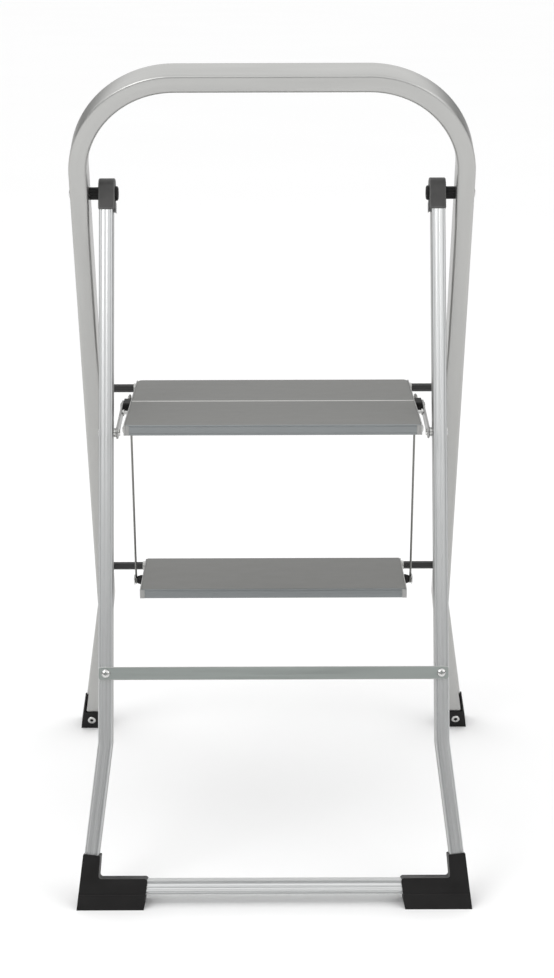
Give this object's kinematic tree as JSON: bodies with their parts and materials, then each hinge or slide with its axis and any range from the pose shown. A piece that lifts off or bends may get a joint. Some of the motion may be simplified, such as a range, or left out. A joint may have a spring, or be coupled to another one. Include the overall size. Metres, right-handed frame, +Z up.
{
  "type": "folding step stool",
  "caption": "Folding aluminium step stool with two hinged treads, a tall hoop rail and a splayed support frame that folds flat against it.",
  "frame": {"origin": "on the floor, below the middle of the opened stool's box", "axes": "+Z up, +Y towards the side one climbs, +X to the right seen from the support-frame side"},
  "size_m": [0.5094, 0.5582, 0.8717],
  "materials": {
    "hoop_metal": "satin anodised",
    "leg_metal": "bright anodised with fine lengthwise ribs",
    "tread_metal": "matt grey anodised",
    "edge_metal": "satin",
    "strap_metal": "satin",
    "steel": "zinc plated",
    "black_plastic": "moulded, satin",
    "grey_plastic": "moulded, satin"
  },
  "bodies": {
    "climbing_frame": {"hoop_rail": "hoop_metal", "top_bar": "steel", "low_bar": "steel", "hoop_shoe_left": "black_plastic", "hoop_shoe_right": "black_plastic", "shoe_rivet_left": "steel", "shoe_rivet_right": "steel", "pivot_bolt_left": "steel", "pivot_bolt_right": "steel", "pivot_bush_left": "black_plastic", "pivot_bush_right": "black_plastic", "pivot_nut_left": "black_plastic", "pivot_nut_right": "black_plastic", "top_bar_sleeve_left": "black_plastic", "top_bar_sleeve_right": "black_plastic", "low_bar_sleeve_left": "black_plastic", "low_bar_sleeve_right": "black_plastic"},
    "support_frame": {"bottom_tube": "leg_metal", "strap_brace": "strap_metal", "support_leg_left": "leg_metal", "support_leg_right": "leg_metal", "leg_cap_left": "grey_plastic", "leg_cap_right": "grey_plastic", "support_foot_left": "black_plastic", "support_foot_right": "black_plastic", "strap_screw_left": "steel", "strap_screw_right": "steel", "arm_pin_left": "steel", "arm_pin_right": "steel", "arm_spacer_left": "steel", "arm_spacer_right": "steel"},
    "top_tread": {"top_front_panel": "tread_metal", "top_rear_panel": "tread_metal", "top_end_plate_left": "edge_metal", "top_end_plate_right": "edge_metal", "knuckle_left": "black_plastic", "knuckle_right": "black_plastic", "knuckle_rivet_left": "steel", "knuckle_rivet_right": "steel", "plate_screw_left": "steel", "plate_screw_right": "steel", "rod_stud_top_left": "steel", "rod_stud_top_right": "steel"},
    "low_tread": {"low_panel": "tread_metal", "low_end_plate_left": "edge_metal", "low_end_plate_right": "edge_metal", "rod_bush_left": "black_plastic", "rod_bush_right": "black_plastic", "rod_stud_low_left": "steel", "rod_stud_low_right": "steel"},
    "link_arms": {"link_arm_left": "leg_metal", "link_arm_right": "leg_metal", "arm_rivet_left": "steel", "arm_rivet_right": "steel"},
    "tie_rods": {"tie_rod_left": "steel", "tie_rod_right": "steel"}
  },
  "joints": [
    {"name": "support_fold", "type": "hinge", "parent": "climbing_frame", "child": "support_frame", "pos_m": [0, -0.02009, 0.73], "axis": [1, 0, 0], "range_deg": [0, 35]},
    {"name": "top_tread_tilt", "type": "hinge", "parent": "climbing_frame", "child": "top_tread", "pos_m": [0, 0.0707, 0.49224], "axis": [-1, 0, 0], "range_deg": [0, 61.7]},
    {"name": "low_tread_tilt", "type": "hinge", "parent": "climbing_frame", "child": "low_tread", "pos_m": [0, 0.16487, 0.24561], "axis": [-1, 0, 0], "range_deg": [0, 61.7]},
    {"name": "link_arm_swing", "type": "hinge", "parent": "support_frame", "child": "link_arms", "pos_m": [0, -0.10339, 0.48107], "axis": [1, 0, 0], "range_deg": [0, 66.8]},
    {"name": "tie_rod_swing", "type": "hinge", "parent": "top_tread", "child": "tie_rods", "pos_m": [0, 0.0107, 0.49324], "axis": [1, 0, 0], "range_deg": [0, 61.7]}
  ],
  "couplings": [
    {"joint": "top_tread_tilt", "follows": "support_fold", "ratio": 1.76},
    {"joint": "low_tread_tilt", "follows": "support_fold", "ratio": 1.76},
    {"joint": "link_arm_swing", "follows": "support_fold", "ratio": 1.9043},
    {"joint": "tie_rod_swing", "follows": "support_fold", "ratio": 1.76}
  ]
}
